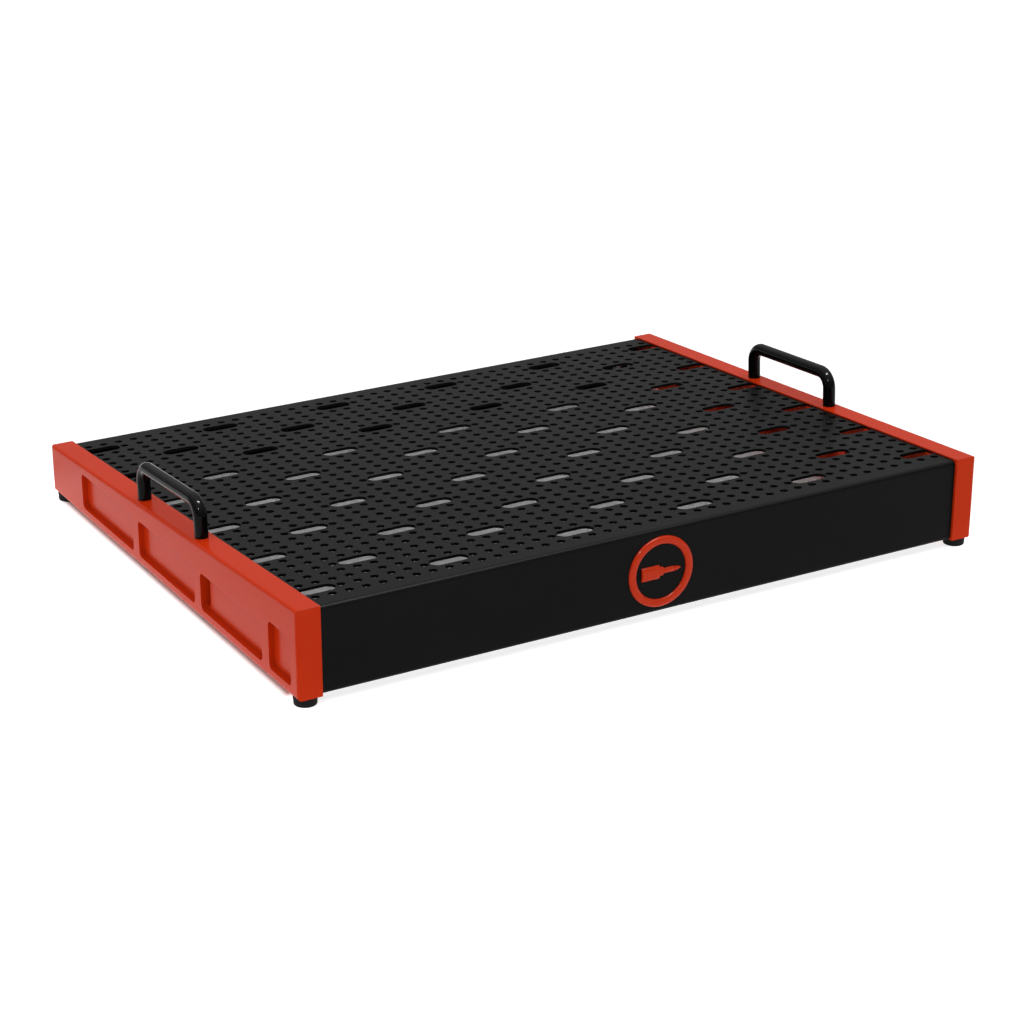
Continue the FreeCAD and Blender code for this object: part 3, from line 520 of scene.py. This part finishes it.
def bar_path(half_span, rise, radius):
    """The bar's centre line and its outward direction, as rows of (along, above).

    A leg rises to where the bend starts, a quarter circle turns it level, and the second half
    mirrors the first. Outward is away from the middle of each bend.
    """
    bend = np.radians(np.linspace(180.0, 90.0, BEND_ROWS))
    turned = np.stack([np.cos(bend), np.sin(bend)], axis=1)
    corner = np.array([-half_span + radius, rise - radius])
    leg = np.array([[-half_span, 0.0], [-half_span, LEG_END_CHAMFER]])
    line = np.concatenate([leg, corner + radius * turned])
    outward = np.concatenate([np.tile([-1.0, 0.0], (2, 1)), turned])
    mirror = np.array([-1.0, 1.0])
    return np.concatenate([line, line[::-1] * mirror]), np.concatenate([outward, outward[::-1] * mirror])


def bar_surface(x, half_span, rise, bar_radius):
    """The bar swept along its path: centre + radius * (across * cos + outward * sin)."""
    line, outward = bar_path(half_span, rise, BEND_RADIUS)
    widths = np.full(len(line), bar_radius)
    widths[[0, -1]] = bar_radius - LEG_END_CHAMFER
    line = np.concatenate([line[:1], line, line[-1:]])
    outward = np.concatenate([outward[:1], outward, outward[-1:]])
    widths = np.concatenate([[0.0], widths, [0.0]])[:, None]
    angles = ring_angles(BAR_COLUMNS)
    across = x + widths * np.cos(angles)
    along = line[:, :1] + widths * outward[:, :1] * np.sin(angles)
    above = line[:, 1:] + widths * outward[:, 1:] * np.sin(angles)
    y = along * math.cos(SLOPE) + above * math.sin(SLOPE)
    z = MID_HEIGHT - along * math.sin(SLOPE) + above * math.cos(SLOPE)
    return np.stack([across, y, z], axis=-1), False


for side in ("left", "right"):
    across, along, above = levelled(nodes[f"handle_{side}"])
    bar_radius = (across.max() - across.min()) / 2
    half_span = (along.max() - along.min()) / 2 - bar_radius
    rise = above.max() - bar_radius
    swept = bar_surface((across.max() + across.min()) / 2, half_span, rise, bar_radius)
    build_piece(f"handle_bar_{side}", [swept], handle_enamel, "handle_enamel", f"handle_{side}")
    measured = np.array([2 * bar_radius, 2 * half_span, rise]) / MM
    print("bar width, leg spacing, rise in mm:", np.round(measured, 2))

# %% [markdown]
# ## The feet
# Each foot is a moulded rubber cone, a little narrower where it meets the floor, with a well in
# it that hides its screw. A mould can't leave a knife edge, so every rim is a small arc. A turned
# outline that closes on itself gives the cone, the well and the screw hole in one surface.

# %% Feet
FOOT_BASE_WIDTH = 15.2 * MM
FOOT_RIM = 0.7 * MM
WELL_RADIUS, WELL_DEPTH = 4.7 * MM, 4.6 * MM
SCREW_HOLE_RADIUS = 2.2 * MM
FOOT_COLUMNS = 64


def foot_outline(top_radius, height):
    """Round the foot from the screw hole's upper edge: top, side, rounded rim, well and hole."""
    base_radius = FOOT_BASE_WIDTH / 2
    outer_rim = corner_arc(base_radius - FOOT_RIM, FOOT_RIM, FOOT_RIM, 270.0)[::-1]
    inner_rim = corner_arc(WELL_RADIUS + FOOT_RIM, FOOT_RIM, FOOT_RIM, 180.0)[::-1]
    return np.concatenate([[(SCREW_HOLE_RADIUS, height), (top_radius, height)], outer_rim, inner_rim,
                           [(WELL_RADIUS, WELL_DEPTH), (SCREW_HOLE_RADIUS, WELL_DEPTH)]])


for corner in ("front_left", "front_right", "rear_left", "rear_right"):
    low, high = (np.array(point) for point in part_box(f"foot_{corner}"))
    middle = (*((low + high) / 2)[:2], low[2])
    outline = foot_outline((high[0] - low[0]) / 2, high[2] - low[2])
    turned = lathe(outline, middle, (0, 0, 1), (1, 0, 0), (0, 1, 0), FOOT_COLUMNS, looped=True)
    build_piece(f"rubber_foot_{corner}", [turned], foot_rubber, "foot_rubber", f"foot_{corner}")

# %% [markdown]
# ## The badge
# A cast badge is soft-edged: the ring is a shallow dome in section, so it catches one glint at
# each side, and the emblem is half of a jack plug, swelling from its tip to its barrel. Both are
# a section carried along a path. The ring's section is a superellipse turned about the badge's
# middle, and the plug's is half a superellipse whose size follows the plug's own outline.

# %% Badge
RING_INSIDE = 39.6 * MM
BADGE_THICKNESS = 2.0 * MM
DOME_POWER, SWELL_POWER = 0.9, 0.35
PIN_RADIUS = 1.2 * MM
PIN_TIP = 0.4 * MM
EMBLEM_PIN_OFFSET = 8.0 * MM
RING_COLUMNS, DOME_COLUMNS, PIN_COLUMNS = 128, 32, 20
# Each part of the plug from its cable end: name, length and height in millimetres.
PLUG = [("barrel", 14.0, 10.0), ("collar", 3.0, 6.6), ("sleeve", 9.0, 4.0), ("neck", 1.0, 2.4)]
TIP_LENGTH, TIP_START, TIP_END = 4.0 * MM, 4.0 * MM, 0.8 * MM
SHOULDER = 0.35 * MM


def dome(angles, half_width, height):
    """A flat-backed dome section: superellipse points where sin is positive, flat where it isn't."""
    cos, sin = np.cos(angles), np.sin(angles)
    width = half_width * np.sign(cos) * np.abs(cos) ** DOME_POWER
    return width, height * np.clip(sin, 0, None) ** DOME_POWER


def ring_surface(middle, outside, inside, height):
    """The domed section turned about the badge's middle, towards -Y from the tall face."""
    width, rise = dome(ring_angles(DOME_COLUMNS), (outside - inside) / 4, height)
    radius = (outside + inside) / 4 + width
    angles = ring_angles(RING_COLUMNS)[:, None]
    y = np.broadcast_to(middle[1] - rise, (RING_COLUMNS, DOME_COLUMNS))
    x, z = middle[0] + radius * np.cos(angles), middle[2] + radius * np.sin(angles)
    return np.stack([x, y, z], axis=-1), True


def plug_outline():
    """The plug's stations and half heights from its barrel's end, with a short slope at each step."""
    stations, halves, reached = [0.0, 0.0, SHOULDER], [0.0, PLUG[0][2] / 2 * MM - SHOULDER], 0.0
    halves.append(PLUG[0][2] / 2 * MM)
    for (_, length, height), (_, _, next_height) in zip(PLUG, [*PLUG[1:], ("tip", 0.0, TIP_START / MM)]):
        reached += length * MM
        stations += [reached - SHOULDER / 2, reached + SHOULDER / 2]
        halves += [height / 2 * MM, next_height / 2 * MM]
    stations += [reached + TIP_LENGTH, reached + TIP_LENGTH]
    return np.array(stations), np.array(halves + [TIP_END / 2, 0.0])


def plug_surface(middle, height):
    """Half a jack plug lying on the face: its rise keeps step with its half height."""
    stations, halves = plug_outline()
    width, rise = dome(ring_angles(DOME_COLUMNS), 1.0, 1.0)
    fullness = (halves / halves.max())[:, None] ** SWELL_POWER
    along = middle[0] - stations.max() / 2 + stations
    x = np.broadcast_to(along[:, None], (len(stations), DOME_COLUMNS))
    y, z = middle[1] - height * fullness * rise, middle[2] + halves[:, None] * width
    return np.stack([x, y, z], axis=-1), False


def pin_surface(x, face_y, end_y, z):
    """A moulded pin through the tall face, with a small lead-in at its end."""
    reach = end_y - face_y
    outline = [(0, 0), (PIN_RADIUS, 0), (PIN_RADIUS, reach - PIN_TIP),
               (PIN_RADIUS - PIN_TIP, reach), (0, reach)]
    return lathe(outline, (x, face_y, z), (0, 1, 0), (1, 0, 0), (0, 0, 1), PIN_COLUMNS)


ring_low, ring_high = (np.array(point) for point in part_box("badge_ring"))
badge_middle = (ring_low + ring_high) / 2
face_y, pin_end_y = ring_low[1] + BADGE_THICKNESS, ring_high[1]
badge_middle[1] = face_y
ring_outside = ring_high[0] - ring_low[0]
ring_body = ring_surface(badge_middle, ring_outside, RING_INSIDE, BADGE_THICKNESS)
plug_body = plug_surface(badge_middle, BADGE_THICKNESS)
ring_offset = (ring_outside + RING_INSIDE) / 4
for name, body, offset in (("ring", ring_body, ring_offset), ("emblem", plug_body, EMBLEM_PIN_OFFSET)):
    pins = [pin_surface(badge_middle[0] + sign * offset, face_y, pin_end_y, badge_middle[2])
            for sign in (-1, 1)]
    build_piece(f"cast_{name}", [body, *pins], badge_enamel, "badge_enamel", f"badge_{name}")

# %% [markdown]
# ## Dress the CAD pieces
# The record says which finish each piece has, by its material slot. Each CAD piece keeps its
# mesh and only has its slot filled.

# %% Dress the CAD nodes
FINISHES = {
    "tray_powder_coat": tray_coat, "panel_powder_coat": panel_coat, "bracket_powder_coat": bracket_coat,
    "handle_enamel": handle_enamel, "badge_enamel": badge_enamel, "zinc_hardware": zinc_plate,
    "black_oxide_screws": black_oxide, "foot_rubber": foot_rubber,
}
slot_of = {part["node"]: part["material_slot"] for part in frame["record"]["subparts"]}
for name, node in nodes.items():
    node.data.materials.clear()
    node.data.materials.append(FINISHES[slot_of[name]])
print("dressed", len(nodes), "CAD pieces in", len(set(slot_of.values())), "finishes")
